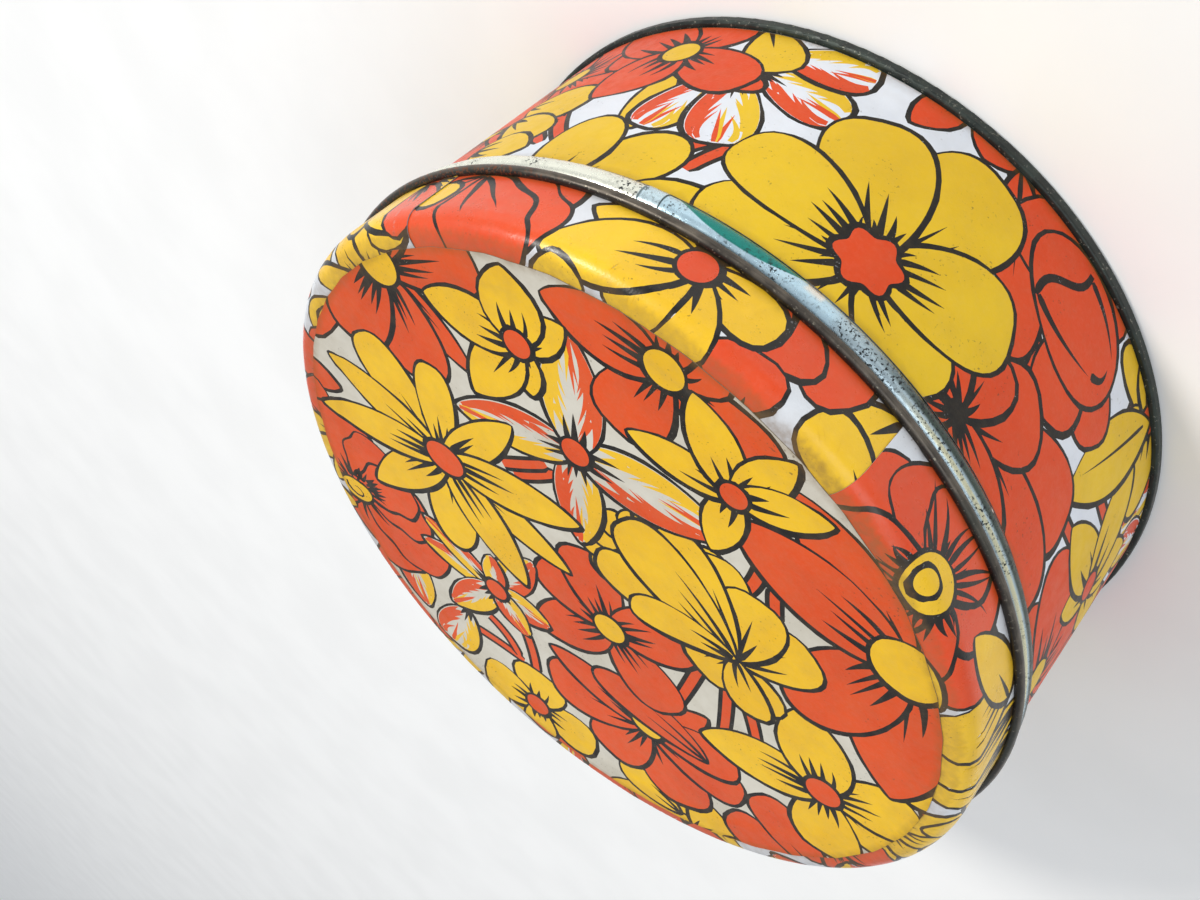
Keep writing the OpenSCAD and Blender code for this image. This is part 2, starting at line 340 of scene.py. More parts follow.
def lid_artwork():
    art = Artwork(11)
    for path in ([(-38, 20), (-36, 6), (-33, -9)], [(-52, 14), (-46, 0), (-41, -9)], [(-57, 2), (-51, -6),
            (-44, -12)], [(-52, -13), (-48, -16), (-44, -16)], [(-7, 66), (-2, 56), (4, 50)], [(-2, 66),
            (6, 68), (15, 73)], [(0, 66), (6, 60), (14, 60)], [(23, -26), (26, -19), (31, -12)], [(26, -26),
            (30, -19), (35, -12)], [(-35, -46), (-32, -50), (-30, -54)], [(-26, -46), (-26, -52),
            (-24, -58)]):
        art.stem(path)
    # the rim of the disc, from the top, clockwise
    art.petals(on_lid, ((20, 68, 95, 24, 8, FLAME, "round"), (47, 66, 130, 26, 6.5, FLAME),
        (-37, 88, 8, 27, 5.5, ORANGE, "round", 0), (-72, 61, 42, 36, 6.5, YELLOW, "point", 2),
        (-64, 66, 12, 22, 6, YELLOW, "blunt", 2), (-70, 66, -98, 17, 8.5, YELLOW, "round", 2),
        (-78, 64, -125, 14, 6, YELLOW, "round", 2), (-100, 42, 2, 29, 8.5, ORANGE, "round", 1),
        (-100, 30, -12, 31, 8.5, ORANGE, "round", 2), (102, 26, 196, 20, 5.5, ORANGE),
        (104, -4, 165, 14, 9, ORANGE, "round", 2), (100, -28, 200, 14, 8, ORANGE, "round", 2),
        (98, 44, 235, 20, 7, ORANGE, "round", 2)))
    # left edge, below the middle
    art.petals(on_lid, ((-97, -26, -62, 22, 5, ORANGE, "point", 2),
        (-92, -46, 70, 18, 4.5, YELLOW, "point", 1), (-76, -80, 120, 30, 6.5, YELLOW, "round", 4)))
    # yellow flower at the top
    art.flower((-14, 83), YELLOW, 4, [(60, 17, 8), (198, 22, 9), (-72, 19, 9.5), (20, 20, 8.5),
        (120, 15, 6)], "round")
    # ruffled poppy at the upper right
    for turn, length, width in ((100, 26, 11), (146, 30, 12), (40, 25, 12), (176, 33, 12), (-8, 28, 12),
            (212, 26, 11), (-50, 31, 14), (-98, 26, 12), (-125, 24, 9)):
        art.petal((66, 58), turn, length, width, ORANGE, "round", 5, 6, lobes=5, ruffle=0.07, reach=0.5)
    art.lashes((67, 59), 5, 12, 15, 200, 210)
    art.heart((67, 60), 5.6, YELLOW, 0.72, 20)
    art.stroke([(67 + r * math.cos(a), 60 + 0.72 * r * math.sin(a)) for r, a in ((4.2 - 0.3 * i,
        0.6 * i) for i in range(11))], 1.1)
    # layered orange bloom
    art.flower((-38, 40), ORANGE, 5, [(-105, 29, 5, "point"), (143, 32, 11.5), (195, 32, 9.5),
        (88, 30, 9.5), (220, 30, 8.5), (35, 34, 11), (9, 34, 6.5, "point")], "round", 4, squeeze=0.8)
    art.petal((-55, 30), 4, 38, 7.5, ORANGE, "blunt", 2, bend=0.12)
    # orange flower with five petals
    art.flower((-12, 13), ORANGE, 4.8, [(158, 29, 10), (62, 31, 9, "point"), (1, 25, 8), (-46, 28, 9.5),
        (-124, 30, 9.5, "blunt")], "round", 4)
    # small flame flower
    art.flower((17, 44), FLAME, 3.6, [(264, 28, 6), (18, 27, 4.5), (-5, 29, 4), (73, 28, 6), (200, 19, 5.5),
        (153, 17, 5), (-62, 15, 4)])
    # yellow flower at the left
    art.flower((-76, -3), YELLOW, 4.8, [(190, 22, 8), (232, 28, 9.5), (125, 27, 10), (38, 36, 9, "point"),
        (-48, 31, 10, "point")], "round", 4)
    # striped poppy at the right
    art.flower((84, -40), ORANGE, 6, [(168, 33, 4.5, "point"), (40, 22, 9), (-15, 20, 9), (-128, 34, 9),
        (-75, 28, 9), (134, 33, 10.5), (88, 34, 9.5)], "round", 5, reach=0.7)
    # large orange flower at the lower left
    art.flower((-59, -67), ORANGE, 8.6, [(150, 34, 7), (-140, 28, 9), (-95, 30, 10), (-62, 32, 9),
        (-24, 46, 9.5, "point"), (117, 49, 12.5, "point", 0.05), (83, 43, 11.5, "blunt"),
        (5, 47, 11, "point")], "round", 4, reach=0.55)
    # ruffled yellow bud: long folds that fan out from its stem to a frilled edge
    stem = (-37, -21)
    for turn, reach in ((16, 38), (8, 43), (0, 42), (-9, 42), (-18, 40), (-27, 40), (-37, 36), (-48, 31)):
        art.inked(ring_of(np.array(stem) + unit(turn) * reach, 4.4, 1.1, turn), YELLOW)
    for turn, length, width in ((150, 18, 7.5), (76, 16, 8), (-112, 26, 9), (-52, 34, 8), (-74, 27, 9),
            (14, 41, 8), (-34, 39, 8), (-14, 42, 10)):
        art.petal(stem, turn, length, width, YELLOW, "round", 3, 1, reach=0.85)
    for turn, length, width in ((128, 20, 6), (22, 30, 6)):
        art.petal(stem, turn, length, width, YELLOW, "round", 2, 1, bend=0.15)
    # the flame flower in the lower middle
    art.flower((22, -39), FLAME, 3.9, [(116, 32, 7), (36, 37, 7), (-155, 41, 9), (-63, 37, 8.5)])
    # star and daisies
    art.flower((17.5, -85), ORANGE, 5, [(177, 31, 9), (-110, 16, 9), (-60, 16, 9), (88, 27, 9.5),
        (17, 31, 8.5, "point")], "round", 4)
    art.flower((-9.5, -69.5), YELLOW, 3.4, [(103, 21, 5), (20, 27, 5), (-40, 26, 6.5), (-100, 23, 5),
        (-137, 24, 5)], "point", 2)
    art.flower((46, -55), YELLOW, 3.7, [(130, 14, 4.5), (-112, 18, 5), (83, 27, 7), (23, 27, 7),
        (-57, 21, 8.5)])
    art.flower((48, 8), YELLOW, 6.2, [(115, 36, 8, "blunt"), (-27, 39, 8, "round"), (183, 43, 5.5),
        (151, 42, 7.5), (2, 41, 6), (69, 40, 6.5), (33, 45, 6), (-64, 33, 6, "round"), (-106, 37, 5.5),
        (-148, 44, 7)], squeeze=0.84, turn=15)
    return art


# ---------------------------------------------------------------- the body's wrap

def wall(angle, z):
    """A place on the body's wrap, from its direction in degrees and its height."""
    return (math.radians(angle) * WRAP_R, z)


def body_artwork():
    art = Artwork(23)
    art.meadow(*(wall(a, 0)[0] for a in (-272, -172)), 8, 62, 36, (22, 29))
    art.meadow(*(wall(a, 0)[0] for a in (-14, 92)), 8, 62, 36, (22, 29))
    for angle, z, turn, length in ((-64, 60, -110, 16), (-60, 61, -115, 14), (-46, 62, -50, 20),
            (-42, 62, -50, 18), (-140, 41, 20, 22), (-142, 27, 15, 20), (-40, 50, -20, 18),
            (-133, 24, -60, 18)):
        start = np.array(wall(angle, z))
        art.stem([start, start + unit(turn + 12) * length / 2, start + unit(turn) * length])
    # the bottom edge
    for angle, turn, length, width in ((-96, 100, 13, 7), (-90, 85, 11, 7), (-83, 70, 17, 5),
            (-100, 80, 10, 6)):
        art.petal(wall(angle, -3), turn, length, width, ORANGE, "point", 1)
    # behind the right side
    art.flower(wall(-168, 30), ORANGE, 6, [(i * 60 + 10, 27, 10) for i in range(6)], "round", 5, lashes=14)
    art.flower(wall(-163, 60), YELLOW, 5, [(i * 72, 22, 8) for i in range(5)], "round", 4)
    art.petals(wall, ((-147, -4, 112, 24, 6.5, FLAME, "round"), (-147, -4, 80, 24, 6.5, FLAME, "round"),
        (-155, 2, 60, 20, 6.5, FLAME, "round")))
    art.flower(wall(-150, 64), ORANGE, 5, [(-160, 24, 9), (-120, 28, 9), (-92, 30, 8.5), (12, 27, 8),
        (-24, 32, 9.5)], "blunt", 4)
    art.flower(wall(-133, 4), YELLOW, 3.6, [(152, 24, 7.5), (5, 22, 5), (60, 14, 4), (-20, 16, 5)], "blunt",
        2)
    art.flower(wall(-147, 37), YELLOW, 3.6, [(200, 24, 7), (70, 17, 5.5), (-105, 22, 6.5), (18, 27, 7),
        (-48, 31, 7.5)], "point", 2)
    # the tall leaf
    art.petal(wall(-133.5, 4), 76, 43, 8.5, YELLOW, "leaf", 0)
    art.stroke([wall(-132.5 + 3.4 * k + 1.5 * k * k, 7 + 30 * k) for k in np.linspace(0, 1, 12)], 1.2)
    # orange blooms
    for turn, length, width in ((112, 21, 7), (80, 18, 7), (50, 17, 6)):
        art.petal(wall(-107, 30), turn, length, width, ORANGE, "round", 1)
    art.petal(wall(-94, 3), 120, 46, 9, ORANGE, "round", 1)
    art.bud(wall(-112.3, 17.4), 19.6, ORANGE, -21)
    art.flower(wall(-107, 64), ORANGE, 1.6, [(-160, 44, 12), (172, 48, 12), (-128, 26, 11), (150, 30, 9),
        (-85, 20, 10), (-30, 21, 9), (25, 20, 9)], "round", 4, heart_ink=BLACK, lashes=9)
    # the left side
    art.flower(wall(-24, 46), ORANGE, 5, [(i * 72 + 20, 26, 9.5) for i in range(5)], "round", 5)
    art.flower(wall(-27, 22), ORANGE, 5, [(i * 60 + 20, 25, 9) for i in range(6)], "round", 5, lashes=12)
    art.petals(wall, ((-27, 38, 168, 24, 8.5, YELLOW, "round", 2),
        (-28, 46, 148, 24, 6.5, YELLOW, "round", 2), (-29, 62, 175, 20, 7, YELLOW),
        (-49, 27, 102, 26, 4.5, YELLOW, "blunt", 0), (-56, 24, 80, 27, 6.5, FLAME, "round"),
        (-58, 24, 112, 27, 8, FLAME, "round"), (-60, 20, 168, 24, 7.5, FLAME, "round"),
        (-60, 12, 192, 23, 7.5, FLAME, "round"), (-59, 22, 110, 7, 4, ORANGE, "round", 0),
        (-55, 2, 125, 20, 7, YELLOW, "round", 1), (-53, 78, -118, 30, 8.5, YELLOW, "blunt", 2),
        (-49, 80, -88, 31, 8.5, YELLOW, "blunt", 2), (-60, 76, -150, 22, 6, YELLOW, "point", 2)))
    art.flower(wall(-46, 17), ORANGE, 4.6, [(-112, 20, 8.5), (5, 20, 7), (-32, 32, 9, "point"),
        (158, 26, 8.5), (68, 25, 9, "point")], "round", 4)
    # the large yellow flower
    art.flower(wall(-88, 54), YELLOW, 7.2, [(88, 30, 14), (150, 30, 11), (-103, 45, 14), (204, 36, 12.5),
        (-62, 40, 13), (28, 37, 13), (-14, 39, 10.5)], "round", 4, turn=20, lobes=6, depth=0.13)
    art.lashes(wall(-88, 54), 7.0, 13, 13)
    art.heart(wall(-88, 54), 7.2, ORANGE, 1.0, 20, 6, 0.13)
    return art


# ---------------------------------------------------------------- the strips on the lid's skirt

def skirt(angle, z):
    """A place on a strip: its height on the skirt, which runs on round the shoulder."""
    return (math.radians(angle) * SKIRT_R, z - STRIP_Z0)


def front_artwork():
    art = Artwork(37)
    art.petals(skirt, ((-110, 84, 30, 20, 7, YELLOW, "blunt", 1),
        (-103, 78, 62, 19, 6.5, YELLOW, "round", 1), (-108, 100, -20, 24, 7, YELLOW, "round", 2),
        (-88, 76, 150, 19, 8.5, ORANGE, "round", 1), (-86, 76, 110, 16, 8.5, ORANGE, "round", 1),
        (-88, 106, -75, 15, 9, ORANGE, "round", 2)))
    art.flower(skirt(-75, 83), YELLOW, 4.1, [(-40, 12, 5), (212, 13, 5), (172, 21, 6.5, "round"),
        (104, 23, 9, "round"), (70, 22, 7, "round"), (-4, 26, 6), (24, 32, 9)])
    for turn, length, width in ((60, 30, 12), (170, 27, 9), (30, 28, 12), (150, 31, 10), (90, 30, 13),
            (125, 32, 12)):
        art.petal(skirt(-42, 79), turn, length, width, ORANGE, "round", 2, lobes=5, ruffle=0.08)
    art.petals(skirt, ((-62, 108, -75, 12, 7, YELLOW, "point", 1),
        (-33, 84, 160, 12, 5, YELLOW, "round", 1)))
    return art


def back_artwork():
    art = Artwork(41)
    art.meadow(skirt(-30, 0)[0], skirt(200, 0)[0], 2, 34, 32, (20, 27))
    # the end that laps over the front strip at the left
    art.petals(skirt, ((-37, 96, -30, 26, 8, YELLOW, "round"), (-30, 80, 120, 20, 7, ORANGE, "round")))
    # the stretch at the right, up to the lap
    art.petal(skirt(207, 74), 88, 34, 8, YELLOW, "round", 5, reach=0.9)
    art.petal(skirt(214, 74), 98, 34, 8, YELLOW, "round", 5, reach=0.9)
    art.petal(skirt(222, 76), 108, 30, 8, YELLOW, "round", 4, reach=0.9)
    for turn, length, width in ((180, 31, 11), (0, 27, 12), (-130, 22, 13), (-50, 22, 13), (-90, 18, 12),
            (135, 26, 12), (45, 26, 12), (90, 24, 12)):
        art.petal(skirt(242, 94), turn, length, width, ORANGE, "round", 2, 7, lobes=3, ruffle=0.05)
    art.petals(skirt, ((218, 81, 18, 26, 5.5, YELLOW, "point", 1),
        (236, 110, 200, 24, 5, YELLOW, "point", 2)))
    art.lashes(skirt(242, 94), 6.5, 14, 14, 0, 200)
    art.lashes(skirt(242, 94), 6.5, 21, 9, 212, 120)
    art.heart(skirt(242, 94), 6.6, YELLOW, 0.92, 15)
    art.heart(skirt(242.6, 94.5), 3.0, YELLOW, 0.9, 15)
    return art


# ---------------------------------------------------------------- from flat artwork to a sheet

def round_border(radius, count):
    """A disc cut out by hand: a round of short straight snips."""
    a = np.linspace(0, 2 * math.pi, count, endpoint=False)
    snip = np.abs(np.sin(a * 21 + 1.3 * np.sin(a * 3))) * 0.28
    return np.stack([np.cos(a), np.sin(a)], 1) * (radius - snip)[:, None]


def long_border(u0, u1, v0, v1, step, waver):
    """A long strip whose upper and lower edges waver a little."""
    count = int((u1 - u0) / step)
    u = np.linspace(u0, u1, count)
    low = v0 + waver * (0.5 + 0.5 * np.sin(u / 23.0 + 1.7 * np.sin(u / 61.0)))
    high = v1 - waver * (0.5 + 0.5 * np.sin(u / 31.0 + 0.6 + 1.3 * np.sin(u / 47.0)))
    rows = max(2, int((v1 - v0) / step))
    k = np.linspace(0, 1, rows)[1:-1]
    right = np.stack([np.full(len(k), u1), low[-1] + (high[-1] - low[-1]) * k], 1)
    left = np.stack([np.full(len(k), u0), high[0] + (low[0] - high[0]) * k], 1)
    return np.vstack([np.stack([u, low], 1), right, np.stack([u, high], 1)[::-1], left])


def grid_points(u0, u1, v_rows, step):
    """Points in staggered rows, which keep the triangles small enough to bend."""
    points = []
    for row, v in enumerate(v_rows):
        u = np.arange(u0 + step * (0.25 + 0.5 * (row % 2)), u1, step)
        points.append(np.stack([u, np.full(len(u), v)], 1))
    return np.vstack(points)


def inside(points, outline):
    """Which points an outline winds round."""
    x, y = points[:, 0, None], points[:, 1, None]
    x0, y0 = outline[:, 0], outline[:, 1]
    x1, y1 = np.roll(x0, -1), np.roll(y0, -1)
    left = (x1 - x0) * (y - y0) - (x - x0) * (y1 - y0)
    below, above = y0 <= y, y1 > y
    turns = (below & above & (left > 0)).sum(1) - (~below & ~above & (left < 0)).sum(1)
    return turns != 0


def split_flat(outlines, points, border):
    """Triangles between the outlines' points and the loose points, within the border."""
    verts, edges = [], []
    for outline in outlines:
        start, count = len(verts), len(outline)
        verts.extend(Vector(p) for p in outline)
        edges.extend((start + i, start + (i + 1) % count) for i in range(count))
    verts.extend(Vector(p) for p in points)
    flat, _, tris, _, _, _ = delaunay_2d_cdt(verts, edges, [], 0, 1e-3, False)
    flat = np.array([tuple(p) for p in flat])
    tris = np.array([tri for tri in tris if len(tri) == 3])
    middle = flat[tris].mean(1)
    chunks = np.array_split(np.arange(len(tris)), max(1, len(tris) // 4000))
    tris = tris[np.concatenate([inside(middle[chunk], border) for chunk in chunks])]
    a, b, c = (flat[tris[:, i]] for i in range(3))
    area = (b[:, 0] - a[:, 0]) * (c[:, 1] - a[:, 1]) - (b[:, 1] - a[:, 1]) * (c[:, 0] - a[:, 0])
    tris[area < 0] = tris[area < 0][:, ::-1]
    return flat, tris


def cut_mesh(art, border, points):
    """Splits the sheet along every outline. Returns flat points, triangles and each one's ink."""
    low, high = border.min(0) - 1, border.max(0) + 1
    shapes = [(outline, ink) for outline, ink in art.shapes
              if not ((outline.max(0) < low).any() or (outline.min(0) > high).any())]
    flat, tris = split_flat([border] + [outline for outline, _ in shapes], points, border)
    middle = flat[tris].mean(1)
    order = np.argsort(middle[:, 0])
    tris, middle = tris[order], middle[order]
    inks = np.full(len(tris), WHITE)
    for outline, ink in shapes:
        first, last = np.searchsorted(middle[:, 0], (outline[:, 0].min(), outline[:, 0].max()))
        v = middle[first:last, 1]
        near = first + np.nonzero((v > outline[:, 1].min()) & (v < outline[:, 1].max()))[0]
        inks[near[inside(middle[near], outline)]] = ink
    used = np.unique(tris)
    number = np.full(len(flat), -1)
    number[used] = np.arange(len(used))
    return flat[used], number[tris], inks


def rim_of(tris):
    """The loop of points round the edge of a sheet, in the triangles' own sense."""
    directed = np.vstack([tris[:, [0, 1]], tris[:, [1, 2]], tris[:, [2, 0]]])
    _, index, uses = np.unique(np.sort(directed, 1), axis=0, return_index=True, return_counts=True)
    follow = dict(directed[index[uses == 1]].tolist())
    loop = [next(iter(follow))]
    while follow[loop[-1]] != loop[0]:
        loop.append(follow[loop[-1]])
    return np.array(loop)


def surface_normals(surface, flat):
    step = 0.05
    across = surface(flat + [step, 0]) - surface(flat - [step, 0])
    up = surface(flat + [0, step]) - surface(flat - [0, step])
    normal = np.cross(across, up)
    return normal / np.maximum(np.linalg.norm(normal, axis=1), 1e-12)[:, None]


def make_sheet(name, art, border, points, surface, soil_and_shade, material):
    """A closed sheet VINYL_T thick, with its ink, and its soiling and painted shade, as attributes of the
    mesh.
    The side with the adhesive has the same edge and is otherwise left coarse."""
    flat, tris, inks = cut_mesh(art, border, points)
    loop = rim_of(tris)
    edge = flat[loop]
    under, under_tris = split_flat([edge], points, edge)
    front, back = surface(flat), surface(under)
    normal, under_normal = surface_normals(surface, flat), surface_normals(surface, under)
    back = back - under_normal * VINYL_T
    count, turns = len(flat), len(loop)
    i = np.arange(turns)
    j = (i + 1) % turns
    walls = np.vstack([np.stack([loop[j], loop[i], i + count], 1),
                       np.stack([loop[j], i + count, j + count], 1)])
    faces = np.vstack([tris, under_tris[:, ::-1] + count, walls])
    mesh = bpy.data.meshes.new(name)
    places = np.vstack([front, back])
    mesh.from_pydata((places * MM).tolist(), [], faces.tolist())
    paint = np.zeros((len(faces), 4), np.float32)
    paint[:, 3] = 1
    for channel, ink in enumerate((ORANGE, YELLOW, BLACK)):
        paint[:len(tris), channel] = inks == ink
    paint[-len(walls):, 2] = EDGE_DIRT
    attribute = mesh.color_attributes.new("ink", "FLOAT_COLOR", "CORNER")
    attribute.data.foreach_set("color", np.repeat(paint, 3, axis=0).ravel())
    soil_and_shade_layer = mesh.attributes.new("soil_and_shade", "FLOAT", "POINT")
    soil_and_shade_layer.data.foreach_set("value", np.concatenate([soil_and_shade(flat), soil_and_shade(under)]).astype(np.float32))
    mesh.polygons.foreach_set("use_smooth", np.ones(len(faces), bool))
    mesh.update()
    corners = np.vstack([normal, -under_normal])[faces.ravel()]
    p = places[walls]
    side = np.cross(p[:, 1] - p[:, 0], p[:, 2] - p[:, 0])
    side /= np.maximum(np.linalg.norm(side, axis=1), 1e-12)[:, None]
    corners[-3 * len(walls):] = np.repeat(side, 3, axis=0)
    mesh.normals_split_custom_set(corners.tolist())
    mesh.materials.append(material)
    return place_in_scene(name, mesh)


def step_up(x, start, end):
    t = np.clip((x - start) / (end - start), 0, 1)
    return t * t * (3 - 2 * t)


def near(x, middle, width):
    """1 at the middle, fading away on both sides."""
    return np.exp(-((x - middle) / width) ** 2)


def ridge(u, v, at, turn, length, width, height):
    """A crease in the sheet: a rounded line about a point, dying out at both ends."""
    along, across = unit(turn), unit(turn + 90)
    x = (u - at[0]) * along[0] + (v - at[1]) * along[1]
    y = (u - at[0]) * across[0] + (v - at[1]) * across[1]
    return height * np.exp(-(y / width) ** 2) * np.exp(-(2 * x / length) ** 4)


def ripple(u, v, size, seed):
    """Slow unevenness, as where the sheet was smoothed down by hand. From -1 to 1."""
    rng = Random(seed)
    total = np.zeros(len(u))
    for _ in range(6):
        turn = unit(rng.uniform(0, 360))
        wave = 2 * math.pi / (size * rng.uniform(0.6, 1.5))
        total += np.sin((u * turn[0] + v * turn[1]) * wave + rng.uniform(0, 6.3))
    return total / 6


def pleats(a):
    """Unevenly spaced pleats round the lid, from 0 between them to 1."""
    return np.maximum(0, np.sin(a * PLEATS + 2.0 * np.sin(a * 5)))


def creased(total, u, v, creases):
    for crease in creases:
        total = total + ridge(u, v, *crease)
    return total


def disc_surface(flat):
    x, y = flat[:, 0], flat[:, 1]
    r = np.hypot(x, y)
    climb = step_up(r, FOLD_IN_R - 3.4, FOLD_IN_R - 0.2)
    a = np.arctan2(y, x)
    raised = pleats(a) ** 2 * step_up(r, 87.5, 91) * 0.08
    z = TOP_Z - LAYER * (1 - climb) - SUNK + raised + 0.02 * ripple(x, y, 26, 3)
    return np.stack([x, y, z], 1)


def disc_soil(flat):
    r = np.hypot(flat[:, 0], flat[:, 1])
    edge = step_up(r, DISC_R - 2.4, DISC_R - 0.1)
    return np.clip(edge * 0.65 + step_up(r, 78, DISC_R) * 0.16, 0, 1)


def wrap_surface(flat):
    u, v = flat[:, 0], flat[:, 1]
    a = u / WRAP_R
    lap = math.radians(WRAP_LAP_A)
    r = WRAP_R + LAYER * step_up(a, lap - math.radians(CLIMB_A), lap)
    r = r + 0.035 * ripple(u, v, 30, 5)
    r = creased(r, u, v, ((wall(-66.5, 66), 60, 9, 0.7, 0.3), (wall(-68.5, 65), 95, 7, 0.5, 0.18),
                          (wall(-150, 52), 70, 26, 0.8, 0.15), (wall(20, 40), 80, 40, 0.9, 0.15)))
    return np.stack([r * np.cos(a), r * np.sin(a), v], 1)


def wrap_soil(flat):
    v = flat[:, 1]
    low = 1 - step_up(v, WRAP_Z0, WRAP_Z0 + 1.6)
    high = step_up(v, WRAP_Z1 - 1.4, WRAP_Z1)
    return np.clip(low * 0.9 + high * 0.6, 0, 1)


def strip_surface(lift):
    """The strip's surface, with how far a place is lifted over the strip below it."""
    def surface(flat):
        u, v = flat[:, 0], flat[:, 1]
        a = u / SKIRT_R
        # a lap is pressed flat where the disc covers it
        up = lift(np.degrees(a)) * LAYER * (1 - step_up(v, BARE_LEN - 0.6, BARE_LEN + 0.8))
        bend = np.clip((v - SKIRT_H) / SHOULDER_R, 0, math.pi / 2)
        inward = np.maximum(v - SKIRT_H - SHOULDER_LEN, 0)
        # more pleats where the strip was turned in without snipping it
        eager = 0.3 + 0.7 * near(np.degrees(a), -42, 14) + 0.6 * near(np.degrees(a), 245, 12)
        pleat = 0.16 * eager * pleats(a) ** 5 * step_up(bend, 0.35, 1.5)
        uneven = creased(0.03 * ripple(u, v, 24, 7) + pleat, u, v,
                         ((skirt(-83, 84), 82, 12, 0.5, 0.10), (skirt(-52, 86), 10, 24, 0.6, 0.07),
                          (skirt(243, 98.5), 4, 22, 1.7, 0.42), (skirt(249, 97), 12, 12, 0.9, 0.2),
                          (skirt(-48, 91.5), 1, 34, 0.7, 0.14)))
        radius = SHOULDER_R + uneven + up
        r = SHOULDER_CENTRE + radius * np.cos(bend) - inward
        z = TOP_Z - LAYER - SHOULDER_R + radius * np.sin(bend)
        z = np.where(v < SKIRT_H, STRIP_Z0 + v, z)
        return np.stack([r * np.cos(a), r * np.sin(a), z], 1)
    return surface


def strip_soil_and_shade(flat):
    v = flat[:, 1]
    a = np.degrees(flat[:, 0] / SKIRT_R)
    reach = BARE_LEN - 4.2 + 0.9 * ripple(flat[:, 0], v * 0, 19, 9)
    # a brown band of old adhesive up to the disc's edge, and a thin line of painted shadow just beside the
    # disc's edge
    margin = step_up(v, reach, reach + 0.5) * 0.55 + step_up(v, BARE_LEN - 1.2, BARE_LEN - 0.2) * 0.35
    handled = near(a, -99, 8) + near(a, 250, 6)
    patch = handled * step_up(v, SKIRT_H + 1.5, SKIRT_H + SHOULDER_LEN) * 0.6
    # the strip's lower edge is darkened as painted shade in the groove under the lid's curl
    return np.clip(margin + patch + (1 - step_up(v, 0.3, 1.6)) * 0.55, 0, 1)


# ---------------------------------------------------------------- materials

def linear(hex_colour):
    """A colour written as on screen, for the shader."""
    parts = [int(hex_colour[i:i + 2], 16) / 255 for i in (0, 2, 4)]
    return tuple(c / 12.92 if c <= 0.04045 else ((c + 0.055) / 1.055) ** 2.4 for c in parts) + (1.0,)


class Look:
    """A node material. Its methods give back the socket that holds their result, sizes are in
    millimetres, and a colour may be a socket or written as on screen."""

    def __init__(self, name, **settings):
        self.material = bpy.data.materials.new(name)
        self.material.use_nodes = True
        self.nodes = self.material.node_tree.nodes
        self.links = self.material.node_tree.links
        self.shader = self.nodes["Principled BSDF"]
        for socket, value in settings.items():
            self.shader.inputs[socket.replace("_", " ")].default_value = value
        coordinates = self.nodes.new("ShaderNodeTexCoord").outputs
        self.place, self.place_normal = coordinates["Object"], coordinates["Normal"]

    def feed(self, socket, value):
        if isinstance(value, bpy.types.NodeSocket):
            self.links.new(value, socket)
        else:
            socket.default_value = linear(value) if isinstance(value, str) else value

    def node(self, kind, *values, **settings):
        """A new node with its first inputs fed in order."""
        node = self.nodes.new("ShaderNode" + kind)
        for name, value in settings.items():
            setattr(node, name, value)
        for i, value in enumerate(values):
            self.feed(node.inputs[i], value)
        return node

    def math(self, operation, a, b=0.0, clamp=False):
        return self.node("Math", a, b, operation=operation, use_clamp=clamp).outputs[0]

    def times(self, first, *more):
        for factor in more:
            first = self.math("MULTIPLY", first, factor)
        return first

    def mix(self, factor, a, b):
        node = self.node("Mix", factor, data_type="RGBA", blend_type="MIX")
        self.feed(node.inputs[6], a)
        self.feed(node.inputs[7], b)
        return node.outputs[2]

    def over(self, colour, tint, *shares):
        """The colour with a tint laid over it, as thick as all the shares multiplied."""
        return self.mix(self.times(*shares), colour, tint)

    def ramp(self, value, start, end, low=0.0, high=1.0):
        """Smooth from low to high as the value goes from start to end."""
        return self.node("MapRange", value, start, end, low, high, interpolation_type="SMOOTHSTEP").outputs[0]

    def band(self, value, start, end, soft):
        """1 between start and end, softly 0 outside."""
        rise = self.ramp(value, start - soft, start + soft)
        return self.times(rise, self.ramp(value, end - soft, end + soft, 1.0, 0.0))

    def noise(self, size, detail=3.0, rough=0.5, way=None):
        """Noise whose features are about size across, drawn out where way squeezes the place."""
        node = self.node("TexNoise")
        node.inputs["Scale"].default_value = 1 / (size * MM)
        node.inputs["Detail"].default_value = detail
        node.inputs["Roughness"].default_value = rough
        self.feed(node.inputs["Vector"], self.scaled(way) if way else self.place)
        return node.outputs["Fac"]

    def spots(self, size, start, end, detail=3.0, rough=0.5, low=0.0, high=1.0):
        """Noise cut off softly between two of its levels."""
        return self.ramp(self.noise(size, detail, rough), start, end, low, high)

    def scaled(self, scale):
        return self.node("VectorMath", self.place, scale, operation="MULTIPLY").outputs[0]

    def round_place(self):
        """Radius in mm, direction in degrees and height in mm."""
        x, y, z = self.node("SeparateXYZ", self.place).outputs
        flat = self.math("SQRT", self.math("ADD", self.times(x, x), self.times(y, y)))
        turn = self.times(self.math("ARCTAN2", y, x), math.degrees(1))
        return self.math("DIVIDE", flat, MM), turn, self.math("DIVIDE", z, MM)

    def facing_axis(self):
        """1 where the surface looks towards the tin's axis, as in the hollow of the bead."""
        dot = self.node("VectorMath", self.place_normal, self.scaled((1, 1, 0)), operation="DOT_PRODUCT")
        return self.ramp(dot.outputs["Value"], -0.15 * WRAP_R * MM, -0.03 * WRAP_R * MM, 1.0, 0.0)

    def attribute(self, name, output):
        return self.node("Attribute", attribute_name=name).outputs[output]

    def bump(self, height, distance, strength, below=None):
        node = self.node("Bump")
        node.inputs["Strength"].default_value = strength
        node.inputs["Distance"].default_value = distance * MM
        self.feed(node.inputs["Height"], height)
        if below is not None:
            self.feed(node.inputs["Normal"], below)
        return node.outputs[0]

    def finish(self, colour, roughness, normal, metallic=0.0):
        for socket, value in (("Base Color", colour), ("Roughness", roughness), ("Normal", normal),
                              ("Metallic", metallic)):
            self.feed(self.shader.inputs[socket], value)
        return self.material


